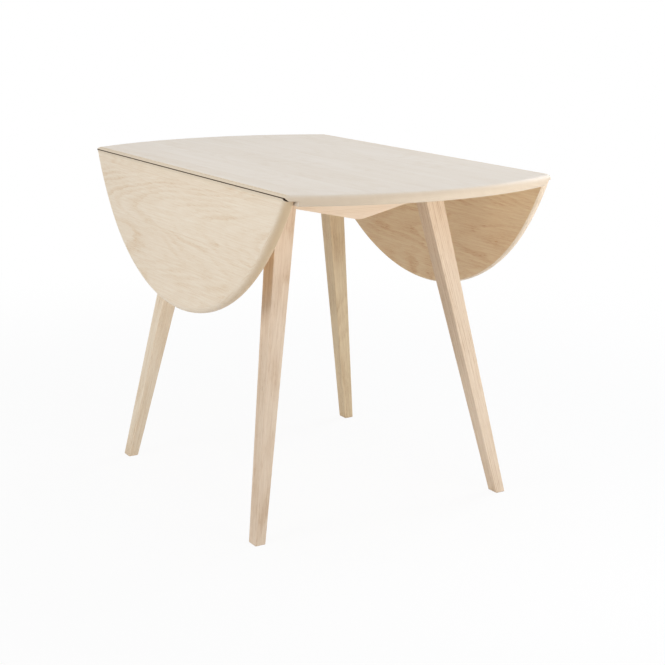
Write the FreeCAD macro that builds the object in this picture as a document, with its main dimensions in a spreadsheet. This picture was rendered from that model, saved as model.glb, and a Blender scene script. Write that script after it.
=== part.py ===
"""Drop-leaf folding table in pale ash: two hanging leaves on rule joints, four splayed legs.

Frame: millimetres, +Z up, origin on the floor under the middle of the table.
+X runs across the leaves (leaf_right hangs at +X), +Y runs along the two hinge lines.
"""
import FreeCAD, Part

import math
import os

import Sketcher
from FreeCAD import Placement, Rotation, Vector

X_AXIS = Vector(1, 0, 0)
Y_AXIS = Vector(0, 1, 0)
Z_AXIS = Vector(0, 0, 1)

# ---------------------------------------------------------------- driving dimensions

SIZES = (
    # the top
    ("table_height", 740),
    ("top_thickness", 21),
    ("top_length", 1226),          # across both opened leaves
    ("top_width", 1094),           # along the hinge lines
    ("oval_fullness", 0.3),        # 0 for the tightest ends, 1 for a circle
    ("panel_width", 624),          # centre panel, from joint line to joint line
    ("edge_round_top", 14),
    ("edge_bevel_under", 3),
    # the rule joint: a rounded nose on the panel, a hollow on the leaf
    ("joint_step", 1.5),
    ("nose_radius", 4.7),
    ("joint_gap", 0.8),
    ("swing_room", 1.5),
    ("leaf_left_hang", 87),        # degrees below the opened position
    ("leaf_right_hang", 84.5),
    # legs: places and sections at the floor and under the top
    ("foot_reach_x", 310),
    ("foot_reach_y", 328),
    ("leg_reach_x", 176),
    ("leg_reach_y", 203),
    ("foot_size_x", 24),
    ("foot_size_y", 30),
    ("leg_size_x", 48),
    ("leg_size_y", 45),
    ("leg_arris", 2),
    ("foot_chamfer", 1),
    # end rails and the spine between them
    ("rail_thickness", 28),
    ("rail_depth_middle", 84),
    ("rail_depth_end", 45),
    ("rail_setback", 0.5),         # behind the rounding of the legs' arrises
    ("rail_round", 60),
    ("spine_thickness", 26),
    ("spine_depth", 40),
    ("tenon_length", 12),
    ("tenon_thickness", 10),
    ("tenon_depth", 24),
    # wings that swing out under the opened leaves
    ("wing_thickness", 22),
    ("wing_reach", 312),           # from the pivot to the middle of the rounded tip
    ("wing_heel_radius", 28),
    ("wing_tip_radius", 17),
    ("wing_edge_round", 3),
    ("wing_side_gap", 2),
    ("wing_top_gap", 0.5),
    ("wing_pivot_offset", 150),    # from the middle of the table, along the spine
    ("pivot_diameter", 8),
    ("pivot_play", 0.08),
    ("pivot_grip", 14),
    ("pivot_head_width", 13),
    ("pivot_head_height", 5.3),
    ("washer_diameter", 22),
    ("washer_thickness", 1.6),
    # rule-joint hinges
    ("hinge_spacing", 250),
    ("hinge_width", 40),
    ("knuckle_width", 18),
    ("flap_thickness", 2),
    ("flap_reach", 48),
    ("barrel_radius", 3),
    ("pin_diameter", 3),
    ("pin_play", 0.05),
    ("housing_fit", 0.2),
    ("strap_thickness", 1.5),
    # fasteners
    ("hinge_screw_diameter", 3.5),
    ("hinge_screw_head", 7),
    ("hinge_screw_length", 9),
    ("frame_screw_diameter", 5),
    ("frame_screw_head", 9.6),
    ("frame_screw_length", 42),
    ("frame_screw_bite", 14),
    ("rail_screw_offset", 78),
    ("spine_screw_offset", 95),
    ("leg_bolt_diameter", 6),
    ("leg_bolt_head", 10),
    ("leg_bolt_head_height", 6),
    ("leg_bolt_sink", 8),
    ("leg_bolt_drop", 25),         # below the underside of the top
    ("leg_bolt_bite", 40),
    ("barrel_nut_diameter", 10),
    ("barrel_nut_length", 16),
    ("dowel_diameter", 8),
    ("dowel_length", 40),
    ("dowel_spread", 15),          # above and below the leg bolt
    ("drill_fit", 0.1),
)

doc = FreeCAD.newDocument("DropLeafTable")


def make_sheet():
    """Write every driving dimension into the spreadsheet, one named row each."""
    sheet = doc.addObject("Spreadsheet::Sheet", "Sizes")
    for row, (name, value) in enumerate(SIZES, start=1):
        sheet.set(f"A{row}", name)
        sheet.set(f"B{row}", str(value))
        sheet.setAlias(f"B{row}", name)
    doc.recompute()
    return sheet


sheet = make_sheet()

# Places that several pieces share, as expressions on the sheet.
UNDERSIDE = "(Sizes.table_height - Sizes.top_thickness)"
JOINT_LINE = "(Sizes.panel_width / 2)"
PIN_HEIGHT = "(Sizes.table_height - Sizes.joint_step - Sizes.nose_radius)"
PIN_TO_TOP = "(Sizes.joint_step + Sizes.nose_radius)"
PIN_TO_BACK = "(Sizes.top_thickness - Sizes.joint_step - Sizes.nose_radius)"
HOLLOW_RADIUS = "(Sizes.nose_radius + Sizes.joint_gap)"
RAIL_PLACE = ("(Sizes.leg_reach_y + Sizes.leg_size_y / 2 - Sizes.leg_arris"
              " - Sizes.rail_setback - Sizes.rail_thickness / 2)")
SPINE_HALF = f"({RAIL_PLACE} - Sizes.rail_thickness / 2)"
BOLT_HEIGHT = f"({UNDERSIDE} - Sizes.leg_bolt_drop)"
WING_PIVOT_X = "(Sizes.spine_thickness / 2 + Sizes.wing_side_gap + Sizes.wing_heel_radius)"
WING_BOTTOM = f"({UNDERSIDE} - Sizes.wing_top_gap - Sizes.wing_thickness)"
HINGE_ROWS = (-1, 0, 1)
SIDES = (("left", -1), ("right", 1))
ENDS = (("front", -1), ("back", 1))
# Screw places on a hinge flap, as shares of its reach from the pin and of its width.
FLAP_SCREWS = ((0.82, -0.32), (0.82, 0.32), (0.48, 0.0))


def number(expression):
    """The value of an expression on the sheet, in millimetres or degrees."""
    return float(sheet.evalExpression(str(expression)))


# ---------------------------------------------------------------- helpers for the features

def new_body(label):
    body = doc.addObject("PartDesign::Body", label)
    body.Label = label
    return body


def origin_plane(body, role):
    return next(item for item in body.Origin.OriginFeatures if item.Role == role)


def new_sketch(body, name, role, offset="0"):
    """A sketch on one of the body's own origin planes, moved along the plane's normal."""
    sketch = body.newObject("Sketcher::SketchObject", name)
    sketch.AttachmentSupport = [(origin_plane(body, role), "")]
    sketch.MapMode = "FlatFace"
    sketch.AttachmentOffset = Placement(Vector(0, 0, number(offset)), Rotation())
    sketch.setExpression("AttachmentOffset.Base.z", offset)
    return sketch


def pin_point(sketch, geometry, end, x, y):
    """Hold one point of the sketch at the two given expressions, measured from the origin."""
    for kind, expression in (("DistanceX", x), ("DistanceY", y)):
        index = sketch.addConstraint(
            Sketcher.Constraint(kind, -1, 1, geometry, end, number(expression)))
        sketch.setExpression(f"Constraints[{index}]", str(expression))


def draw_outline(sketch, corners):
    """A closed outline. Each corner is (x, y), or (x, y, radius, middle_x, middle_y) where an arc
    of that radius about that middle leads to the next corner."""
    points = [Vector(number(c[0]), number(c[1]), 0) for c in corners]
    starts = []
    for i, corner in enumerate(corners):
        here, there = points[i], points[(i + 1) % len(points)]
        if len(corner) == 2:
            starts.append((sketch.addGeometry(Part.LineSegment(here, there), False), 1, 2))
            continue
        middle = Vector(number(corner[3]), number(corner[4]), 0)
        turns = [math.atan2(point.y - middle.y, point.x - middle.x) for point in (here, there)]
        sweep = (turns[1] - turns[0]) % (2 * math.pi)
        anticlockwise = sweep <= math.pi
        first = turns[0] if anticlockwise else turns[1]
        last = first + (sweep if anticlockwise else 2 * math.pi - sweep)
        circle = Part.Circle(middle, Z_AXIS, number(corner[2]))
        index = sketch.addGeometry(Part.ArcOfCircle(circle, first, last), False)
        starts.append((index, 1, 2) if anticlockwise else (index, 2, 1))
        radius = sketch.addConstraint(Sketcher.Constraint("Radius", index, number(corner[2])))
        sketch.setExpression(f"Constraints[{radius}]", str(corner[2]))
    for i, (index, first, last) in enumerate(starts):
        following, its_first, _ = starts[(i + 1) % len(starts)]
        sketch.addConstraint(Sketcher.Constraint("Coincident", index, last, following, its_first))
    for (index, first, _), corner in zip(starts, corners):
        pin_point(sketch, index, first, corner[0], corner[1])


def extrude(body, kind, name, sketch, length, symmetric=False, reverse=False):
    """A Pad or a Pocket of the sketch, its length bound to an expression."""
    feature = body.newObject(f"PartDesign::{kind}", name)
    feature.Profile = sketch
    feature.Type = "Length"
    feature.SideType = "Symmetric" if symmetric else "One side"
    feature.Reversed = reverse
    feature.Length = number(length)
    feature.setExpression("Length", length)
    sketch.Visibility = False
    doc.recompute()
    return feature


def bind(feature, **expressions):
    for name, expression in expressions.items():
        feature.setExpression(name, str(expression))


def place(feature, x, y, z, rotation=None):
    """Put a feature at three expressions, turned by a fixed rotation."""
    feature.Placement = Placement(Vector(0, 0, 0), rotation or Rotation())
    for axis, expression in (("x", x), ("y", y), ("z", z)):
        feature.setExpression(f"Placement.Base.{axis}", str(expression))


def box_feature(body, kind, name, x, y, z, size_x, size_y, size_z):
    """A box added to or cut from a body, from its middle in y and its low corner in x and z."""
    feature = body.newObject(f"PartDesign::{kind}Box", name)
    bind(feature, Length=size_x, Width=size_y, Height=size_z)
    place(feature, x, f"({y}) - ({size_y}) / 2", z)
    doc.recompute()
    return feature


def rod_feature(body, kind, name, x, y, z, radius, length):
    """A cylinder along Y, added to or cut from a body, given by the middle of its axis."""
    feature = body.newObject(f"PartDesign::{kind}Cylinder", name)
    bind(feature, Radius=radius, Height=length)
    place(feature, x, f"({y}) + ({length}) / 2", z, Rotation(X_AXIS, 90))
    doc.recompute()
    return feature


def round_edges(body, name, kind, base, chosen, size):
    """A Fillet or Chamfer on the edges of the base feature that the test chooses."""
    names = [f"Edge{i}" for i, edge in enumerate(base.Shape.Edges, start=1) if chosen(edge)]
    feature = body.newObject(f"PartDesign::{kind}", name)
    feature.Base = (base, names)
    if kind == "Fillet":
        feature.Radius = number(size)
        feature.setExpression("Radius", size)
    else:
        feature.Size = number(size)
        feature.setExpression("Size", size)
    doc.recompute()
    return feature


def lies_at_height(height, curved_only=False):
    """A test for edges that lie wholly at one height."""
    def test(edge):
        box = edge.BoundBox
        level = abs(box.ZMin - height) < 1e-4 and abs(box.ZMax - height) < 1e-4
        return level and not (curved_only and isinstance(edge.Curve, Part.Line))
    return test


def cylinder(name, radius, length, base, direction):
    """A Part cylinder bound to expressions, from its base point along a direction."""
    rod = doc.addObject("Part::Cylinder", name)
    bind(rod, Radius=radius, Height=length)
    place(rod, *base, Rotation(Z_AXIS, direction))
    return rod


def cut_from(label, base, tools):
    """The piece that is left when the tools are cut from the base."""
    removed = tools[0]
    if len(tools) > 1:
        removed = doc.addObject("Part::MultiFuse", f"{label}_cuts")
        removed.Shapes = tools
    result = doc.addObject("Part::Cut", label)
    result.Base = base
    result.Tool = removed
    result.Label = label
    doc.recompute()
    return result


def stand_in_place(label, source, x, y, z, rotation=None):
    """One more piece of the same shape as the source, set in its own place."""
    copy = doc.addObject("Part::Compound", label)
    copy.Label = label
    copy.Links = [source]
    place(copy, x, y, z, rotation)
    doc.recompute()
    return copy


def group(label, source, placements):
    """Identical fasteners as separate solids of one group."""
    pieces = doc.addObject("Part::Feature", label)
    pieces.Label = label
    solids = []
    for placement in placements:
        solid = source.Shape.Solids[0].copy()
        solid.Placement = placement.multiply(solid.Placement)
        solids.append(solid)
    pieces.Shape = Part.makeCompound(solids)
    return pieces


# ---------------------------------------------------------------- rotations of the two sides

def side_rotation(side, hang="0"):
    """Right pieces keep their drawing. Left pieces are turned half round about Z.
    A leaf then swings down about its own Y axis by its hang angle."""
    turn = Rotation(Z_AXIS, 180 if side < 0 else 0)
    return turn.multiply(Rotation(Y_AXIS, number(hang)))


def hinge_y(row, side):
    """Where one of the three hinges of a side sits along the joint line."""
    return f"({row} * Sizes.hinge_spacing)" if side > 0 else f"({-row} * Sizes.hinge_spacing)"


# ---------------------------------------------------------------- the top

# The oval top is drawn as four arcs that meet smoothly: one round each end, one along each side.
OVAL_A = "(Sizes.top_length / 2)"
OVAL_B = "(Sizes.top_width / 2)"
END_RADIUS = (f"({OVAL_B} ^ 2 / {OVAL_A} + Sizes.oval_fullness"
              f" * ({OVAL_B} - {OVAL_B} ^ 2 / {OVAL_A}))")
SIDE_RADIUS = (f"(({OVAL_A} ^ 2 + {OVAL_B} ^ 2 - 2 * {OVAL_A} * {END_RADIUS})"
               f" / (2 * ({OVAL_B} - {END_RADIUS})))")
END_CENTRE = f"({OVAL_A} - {END_RADIUS})"
SIDE_CENTRE = f"({SIDE_RADIUS} - {OVAL_B})"
CENTRE_GAP = f"sqrt({END_CENTRE} ^ 2 + {SIDE_CENTRE} ^ 2)"
MEETING_X = f"({END_CENTRE} + {END_RADIUS} * abs({END_CENTRE}) / {CENTRE_GAP})"
MEETING_Y = f"({END_RADIUS} * abs({SIDE_CENTRE}) / {CENTRE_GAP})"


def side_arc_height(x):
    """How far from the middle line the oval's side arc is at a distance x across."""
    return f"(sqrt({SIDE_RADIUS} ^ 2 - ({x}) ^ 2) - {SIDE_CENTRE})"


def rounded_board(body, corners, underside):
    """A board of the top: its outline padded up, its curved edge rounded above, bevelled below."""
    sketch = new_sketch(body, f"{body.Name}_outline", "XY_Plane", underside)
    draw_outline(sketch, corners)
    board = extrude(body, "Pad", f"{body.Name}_board", sketch, "Sizes.top_thickness")
    top = number(underside) + number("Sizes.top_thickness")
    crown = round_edges(body, f"{body.Name}_crown", "Fillet", board,
                        lies_at_height(top, curved_only=True), "Sizes.edge_round_top")
    round_edges(body, f"{body.Name}_bevel", "Chamfer", crown,
                lies_at_height(number(underside), curved_only=True), "Sizes.edge_bevel_under")


def cut_nose(body, side):
    """Shape one joint edge of the panel: step, quarter-round nose, chamfer and rebate under it."""
    line = f"{side} * {JOINT_LINE}"
    nose_tip = f"{side} * ({JOINT_LINE} + Sizes.nose_radius)"
    rebate = f"{side} * ({JOINT_LINE} - {PIN_TO_BACK} - Sizes.swing_room)"
    outside = f"{side} * Sizes.top_length"
    above = "Sizes.table_height + Sizes.nose_radius"
    below = f"{UNDERSIDE} - Sizes.nose_radius"
    nose_top = "Sizes.table_height - Sizes.joint_step"
    nose_bottom = f"{PIN_HEIGHT} - Sizes.nose_radius"
    round_nose = ("Sizes.nose_radius", line, PIN_HEIGHT)
    sketch = new_sketch(body, f"nose_outline_{'left' if side < 0 else 'right'}", "XZ_Plane")
    draw_outline(sketch, [
        (line, above),
        (line, nose_top, *round_nose),
        (nose_tip, PIN_HEIGHT),
        (line, nose_bottom),
        (rebate, nose_bottom),
        (rebate, below),
        (outside, below),
        (outside, above),
    ])
    extrude(body, "Pocket", f"nose_{'left' if side < 0 else 'right'}", sketch,
            "2 * Sizes.top_width", symmetric=True)


def cut_panel_housings(body, side):
    """Let the three hinges of one side into the panel: plate, barrel and the strap's swing."""
    fit = "Sizes.housing_fit"
    plate_length = f"(Sizes.flap_reach + Sizes.nose_radius + 2 * {fit})"
    channel_half = f"(Sizes.barrel_radius + {fit})"
    plate_low = f"{UNDERSIDE} - Sizes.nose_radius"
    plate_top = f"({PIN_HEIGHT} - Sizes.nose_radius + Sizes.flap_thickness + {fit})"
    slot_side = "(Sizes.nose_radius + 3)"
    for row in HINGE_ROWS:
        y = hinge_y(row, side)
        name = f"housing_{'left' if side < 0 else 'right'}_{row + 2}"
        start = f"({JOINT_LINE} - Sizes.flap_reach - {fit})"
        low_x = start if side > 0 else f"(-{start} - {plate_length})"
        box_feature(body, "Subtractive", f"{name}_plate", low_x, y, plate_low, plate_length,
                    f"(Sizes.hinge_width + 2 * {fit})", f"({plate_top} - ({plate_low}))")
        low_x = f"({side} * {JOINT_LINE} - {slot_side})"
        box_feature(body, "Subtractive", f"{name}_strap", low_x, y, plate_low,
                    f"(2 * {slot_side})", f"(Sizes.knuckle_width + 2 * {fit})",
                    f"({PIN_HEIGHT} + {fit} - ({plate_low}))")
        low_x = f"({side} * {JOINT_LINE} - {channel_half})"
        box_feature(body, "Subtractive", f"{name}_barrel", low_x, y, plate_low,
                    f"2 * {channel_half}", f"(Sizes.hinge_width + 2 * {fit})",
                    f"({PIN_HEIGHT} + {channel_half} - ({plate_low}))")


def make_centre_panel():
    body = new_body("panel_board")
    nose_tip = f"({JOINT_LINE} + Sizes.nose_radius)"
    corner_y = side_arc_height(nose_tip)
    rounded_board(body, [
        (f"-{nose_tip}", corner_y, SIDE_RADIUS, "0", f"-{SIDE_CENTRE}"),
        (nose_tip, corner_y),
        (nose_tip, f"-{corner_y}", SIDE_RADIUS, "0", SIDE_CENTRE),
        (f"-{nose_tip}", f"-{corner_y}"),
    ], UNDERSIDE)
    for _, side in SIDES:
        cut_nose(body, side)
        cut_panel_housings(body, side)
    drillings = [
        cylinder(f"panel_screw_hole_{i}", "Sizes.frame_screw_diameter / 2 + Sizes.drill_fit",
                 "Sizes.frame_screw_bite + 1", (x, y, UNDERSIDE), Z_AXIS)
        for i, (x, y) in enumerate(frame_screw_places())]
    drillings += [
        cylinder(f"panel_pivot_hole_{name}", "Sizes.pivot_diameter / 2 + Sizes.drill_fit",
                 "Sizes.pivot_grip + 1", (f"{side} * {WING_PIVOT_X}",
                                          f"{-side} * Sizes.wing_pivot_offset", UNDERSIDE), Z_AXIS)
        for name, side in SIDES]
    low = f"({PIN_HEIGHT} - Sizes.nose_radius)"
    for name, side in SIDES:
        for row in HINGE_ROWS:
            for i, (along, across) in enumerate(FLAP_SCREWS):
                x = f"{side} * ({JOINT_LINE} - {along} * Sizes.flap_reach)"
                y = f"{hinge_y(row, side)} + {side * across} * Sizes.hinge_width"
                drillings.append(cylinder(
                    f"panel_hinge_hole_{name}_{row + 2}_{i}",
                    "Sizes.hinge_screw_diameter / 2 + Sizes.drill_fit",
                    "Sizes.hinge_screw_length + 0.5", (x, y, low), Z_AXIS))
    return cut_from("centre_panel", body, drillings)


def make_leaf(name, side):
    """A leaf drawn opened, about its own hinge pin, then hung from it."""
    fit = "Sizes.housing_fit"
    underside = f"-{PIN_TO_BACK}"
    body = new_body(f"leaf_board_{name}")
    corner_y = side_arc_height(f"{JOINT_LINE} + Sizes.joint_gap")
    meeting_x = f"({MEETING_X} - {JOINT_LINE})"
    rounded_board(body, [
        ("Sizes.joint_gap", corner_y, SIDE_RADIUS, f"-{JOINT_LINE}", f"-{SIDE_CENTRE}"),
        (meeting_x, MEETING_Y, END_RADIUS, f"({END_CENTRE} - {JOINT_LINE})", "0"),
        (meeting_x, f"-{MEETING_Y}", SIDE_RADIUS, f"-{JOINT_LINE}", SIDE_CENTRE),
        ("Sizes.joint_gap", f"-{corner_y}"),
    ], underside)
    lip_height = f"sqrt({HOLLOW_RADIUS} ^ 2 - Sizes.joint_gap ^ 2)"
    below = f"{underside} - Sizes.nose_radius"
    sketch = new_sketch(body, f"hollow_outline_{name}", "XZ_Plane")
    draw_outline(sketch, [
        ("Sizes.joint_gap", lip_height, HOLLOW_RADIUS, "0", "0"),
        (HOLLOW_RADIUS, "0"),
        (HOLLOW_RADIUS, below),
        ("-Sizes.nose_radius", below),
        ("-Sizes.nose_radius", lip_height),
    ])
    extrude(body, "Pocket", f"hollow_{name}", sketch, "2 * Sizes.top_width", symmetric=True)
    strap_top = f"({fit} + Sizes.barrel_radius - {HOLLOW_RADIUS})"
    drillings = []
    for row in HINGE_ROWS:
        y = f"({row} * Sizes.hinge_spacing)"
        box_feature(body, "Subtractive", f"leaf_{name}_plate_{row + 2}", "0", y, below,
                    f"Sizes.flap_reach + {fit}", f"(Sizes.hinge_width + 2 * {fit})",
                    f"Sizes.nose_radius + Sizes.flap_thickness + {fit}")
        box_feature(body, "Subtractive", f"leaf_{name}_strap_{row + 2}", "0", y, below,
                    f"{PIN_TO_BACK} + Sizes.flap_thickness + 2 * {fit}",
                    f"(Sizes.knuckle_width + 2 * {fit})", f"({strap_top} - ({below}))")
        for i, (along, across) in enumerate(FLAP_SCREWS):
            place_xy = (f"{along} * Sizes.flap_reach", f"{y} + {across} * Sizes.hinge_width")
            drillings.append(cylinder(
                f"leaf_{name}_hole_{row + 2}_{i}",
                "Sizes.hinge_screw_diameter / 2 + Sizes.drill_fit",
                "Sizes.hinge_screw_length + 0.5", (*place_xy, underside), Z_AXIS))
    leaf = cut_from(f"leaf_{name}", body, drillings)
    hang = f"Sizes.leaf_{name}_hang"
    place(leaf, f"{side} * {JOINT_LINE}", "0", PIN_HEIGHT, side_rotation(side, hang))
    return leaf


# ---------------------------------------------------------------- hinges

def countersink(body, name, x, y, low):
    """The cone that a flap's screw head sits in."""
    cone = body.newObject("PartDesign::SubtractiveCone", name)
    bind(cone, Radius1="Sizes.hinge_screw_head / 2", Radius2="Sizes.hinge_screw_diameter / 2",
         Height="Sizes.flap_thickness")
    place(cone, x, y, low)
    doc.recompute()


def make_panel_flap():
    """The flap that is screwed under the panel, with the two outer barrels of the hinge."""
    body = new_body("panel_flap_pattern")
    low = "(-Sizes.nose_radius)"
    top = "(Sizes.flap_thickness - Sizes.nose_radius)"
    web = "(Sizes.barrel_radius * 0.7)"
    sketch = new_sketch(body, "panel_flap_outline", "XZ_Plane")
    draw_outline(sketch, [
        ("-Sizes.flap_reach", low), (web, low), (web, "0"),
        (f"-{web}", "0"), (f"-{web}", top), ("-Sizes.flap_reach", top)])
    extrude(body, "Pad", "panel_flap_plate", sketch, "Sizes.hinge_width", symmetric=True)
    rod_feature(body, "Additive", "panel_flap_barrel", "0", "0", "0",
                "Sizes.barrel_radius", "Sizes.hinge_width")
    gap = "(Sizes.knuckle_width + 2 * Sizes.housing_fit)"
    swing = "(Sizes.nose_radius + 2 * Sizes.flap_thickness)"
    box_feature(body, "Subtractive", "panel_flap_gap", f"-{swing}", "0",
                "-2 * Sizes.nose_radius", f"2 * {swing}", gap, "4 * Sizes.nose_radius")
    rod_feature(body, "Subtractive", "panel_flap_bore", "0", "0", "0",
                "Sizes.pin_diameter / 2 + Sizes.pin_play", "2 * Sizes.hinge_width")
    for i, (along, across) in enumerate(FLAP_SCREWS):
        countersink(body, f"panel_flap_sink_{i}", f"-{along} * Sizes.flap_reach",
                    f"{across} * Sizes.hinge_width", low)
    return body


def make_leaf_flap():
    """The flap that is screwed to the leaf: a plate, and a strap up to the middle barrel."""
    body = new_body("leaf_flap_pattern")
    low = f"(-{PIN_TO_BACK})"
    top = f"(Sizes.flap_thickness - {PIN_TO_BACK})"
    bend = f"({PIN_TO_BACK} + Sizes.strap_thickness)"
    hold = "(Sizes.barrel_radius - 0.4)"
    sketch = new_sketch(body, "leaf_flap_outline", "XZ_Plane")
    draw_outline(sketch, [
        ("0", f"-{hold}"), (PIN_TO_BACK, low), ("Sizes.flap_reach", low),
        ("Sizes.flap_reach", top), (bend, top), (hold, "0")])
    extrude(body, "Pad", "leaf_flap_strap", sketch, "Sizes.knuckle_width", symmetric=True)
    box_feature(body, "Additive", "leaf_flap_plate", bend, "0", low,
                f"Sizes.flap_reach - {bend}", "Sizes.hinge_width", "Sizes.flap_thickness")
    rod_feature(body, "Additive", "leaf_flap_barrel", "0", "0", "0",
                "Sizes.barrel_radius", "Sizes.knuckle_width")
    rod_feature(body, "Subtractive", "leaf_flap_bore", "0", "0", "0",
                "Sizes.pin_diameter / 2 + Sizes.pin_play", "2 * Sizes.hinge_width")
    for i, (along, across) in enumerate(FLAP_SCREWS):
        countersink(body, f"leaf_flap_sink_{i}", f"{along} * Sizes.flap_reach",
                    f"{across} * Sizes.hinge_width", low)
    return body


def make_hinges():
    """Three hinges to each leaf: panel flap, leaf flap and pin."""
    panel_flap = make_panel_flap()
    leaf_flap = make_leaf_flap()
    pin = cylinder("pin_pattern", "Sizes.pin_diameter / 2", "Sizes.hinge_width",
                   ("0", "Sizes.hinge_width / 2", "0"), -Y_AXIS)
    doc.recompute()
    made = []
    for name, side in SIDES:
        hang = f"Sizes.leaf_{name}_hang"
        for row in HINGE_ROWS:
            where = (f"{side} * {JOINT_LINE}", hinge_y(row, side), PIN_HEIGHT)
            made.append(stand_in_place(f"hinge_panel_flap_{name}_{row + 2}", panel_flap,
                                       *where, side_rotation(side)))
            made.append(stand_in_place(f"hinge_leaf_flap_{name}_{row + 2}", leaf_flap,
                                       *where, side_rotation(side, hang)))
            made.append(stand_in_place(f"hinge_pin_{name}_{row + 2}", pin,
                                       *where, side_rotation(side)))
    return made


# ---------------------------------------------------------------- legs, rails and spine

def make_leg_blank(name, side, end):
    """A splayed leg, tapered from under the top to the floor, arrises eased."""
    body = new_body(f"leg_blank_{name}")
    wedge = body.newObject("PartDesign::AdditiveWedge", f"taper_{name}")
    wedge.Placement = Placement(Vector(0, 0, 0), Rotation(X_AXIS, 90))
    foot_x, head_x = f"{side} * Sizes.foot_reach_x", f"{side} * Sizes.leg_reach_x"
    foot_y, head_y = f"{-end} * Sizes.foot_reach_y", f"{-end} * Sizes.leg_reach_y"
    bind(wedge,
         Xmin=f"{foot_x} - Sizes.foot_size_x / 2", Xmax=f"{foot_x} + Sizes.foot_size_x / 2",
         Zmin=f"{foot_y} - Sizes.foot_size_y / 2", Zmax=f"{foot_y} + Sizes.foot_size_y / 2",
         X2min=f"{head_x} - Sizes.leg_size_x / 2", X2max=f"{head_x} + Sizes.leg_size_x / 2",
         Z2min=f"{head_y} - Sizes.leg_size_y / 2", Z2max=f"{head_y} + Sizes.leg_size_y / 2",
         Ymin="0", Ymax=UNDERSIDE)
    doc.recompute()
    tall = 0.9 * number(UNDERSIDE)
    eased = round_edges(body, f"foot_edge_{name}", "Chamfer", wedge,
                        lies_at_height(0.0), "Sizes.foot_chamfer")
    round_edges(body, f"arris_{name}", "Fillet", eased,
                lambda edge: edge.BoundBox.ZLength > tall, "Sizes.leg_arris")
    return body


def leg_outer_face(height):
    """How far out the middle of the leg's outer face is at a height."""
    share = f"(({height}) / {UNDERSIDE})"
    at_foot = "(Sizes.foot_reach_x + Sizes.foot_size_x / 2)"
    at_head = "(Sizes.leg_reach_x + Sizes.leg_size_x / 2)"
    return f"({at_foot} + ({at_head} - {at_foot}) * {share})"


def leg_inner_face(height):
    """How far out the leg's inner face is at a height."""
    share = f"(({height}) / {UNDERSIDE})"
    at_foot = "(Sizes.foot_reach_x - Sizes.foot_size_x / 2)"
    at_head = "(Sizes.leg_reach_x - Sizes.leg_size_x / 2)"
    return f"({at_foot} + ({at_head} - {at_foot}) * {share})"


BOLT_HEAD_SEAT = f"({leg_outer_face(BOLT_HEIGHT)} - Sizes.leg_bolt_sink)"
BOLT_END = f"({leg_inner_face(BOLT_HEIGHT)} - Sizes.leg_bolt_bite)"
BARREL_NUT_PLACE = f"({BOLT_END} + Sizes.barrel_nut_diameter)"
DOWEL_HEIGHTS = (f"({BOLT_HEIGHT} + Sizes.dowel_spread)", f"({BOLT_HEIGHT} - Sizes.dowel_spread)")


def joint_drillings(name, side, end):
    """The bolt, its head's counterbore and the two dowels between one leg and its rail."""
    y = f"{end} * {RAIL_PLACE}"
    inward = X_AXIS * -side
    fit = "Sizes.drill_fit"
    drillings = [
        cylinder(f"{name}_bolt_hole", f"Sizes.leg_bolt_diameter / 2 + {fit}",
                 f"{BOLT_HEAD_SEAT} - {BOLT_END} + 2",
                 (f"{side} * {BOLT_HEAD_SEAT}", y, BOLT_HEIGHT), inward),
        cylinder(f"{name}_bolt_sink", f"Sizes.leg_bolt_head / 2 + 5 * {fit}",
                 "3 * Sizes.leg_bolt_sink",
                 (f"{side} * {BOLT_HEAD_SEAT}", y, BOLT_HEIGHT), -inward),
    ]
    for i, height in enumerate(DOWEL_HEIGHTS):
        start = f"{side} * ({leg_inner_face(height)} + Sizes.dowel_length / 2 + {fit})"
        drillings.append(cylinder(
            f"{name}_dowel_hole_{i}", f"Sizes.dowel_diameter / 2 + {fit}",
            f"Sizes.dowel_length + 2 * {fit}", (start, y, height), inward))
    return drillings


def make_rail_blank(name, end):
    """The shallow V board across one end, drawn long and rounded at its lowest point."""
    body = new_body(f"rail_blank_{name}")
    half = "Sizes.leg_reach_x"
    low_end = f"{UNDERSIDE} - Sizes.rail_depth_end"
    low_middle = f"{UNDERSIDE} - Sizes.rail_depth_middle"
    sketch = new_sketch(body, f"rail_outline_{name}", "XZ_Plane", f"{-end} * {RAIL_PLACE}")
    draw_outline(sketch, [
        (f"-{half}", UNDERSIDE), (f"-{half}", low_end), ("0", low_middle),
        (half, low_end), (half, UNDERSIDE)])
    board = extrude(body, "Pad", f"rail_board_{name}", sketch, "Sizes.rail_thickness",
                    symmetric=True)
    round_edges(body, f"rail_vertex_{name}", "Fillet", board,
                lies_at_height(number(low_middle)), "Sizes.rail_round")
    tenon_top = f"({UNDERSIDE} - (Sizes.spine_depth - Sizes.tenon_depth) / 2)"
    box_feature(body, "Subtractive", f"rail_mortise_{name}", "-Sizes.tenon_thickness / 2",
                f"{end} * ({SPINE_HALF} + Sizes.tenon_length / 2 - 1)",
                f"{tenon_top} - Sizes.tenon_depth",
                "Sizes.tenon_thickness", "(Sizes.tenon_length + 2)", "Sizes.tenon_depth")
    return body


def frame_screw_places():
    """Where screws go up into the panel: two through each rail, two through the spine."""
    places = [(f"{side} * Sizes.rail_screw_offset", f"{end} * {RAIL_PLACE}")
              for _, end in ENDS for _, side in SIDES]
    return places + [("0", f"{end} * Sizes.spine_screw_offset") for _, end in ENDS]


FRAME_SCREW_LOW = f"({UNDERSIDE} + Sizes.frame_screw_bite - Sizes.frame_screw_length)"


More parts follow.
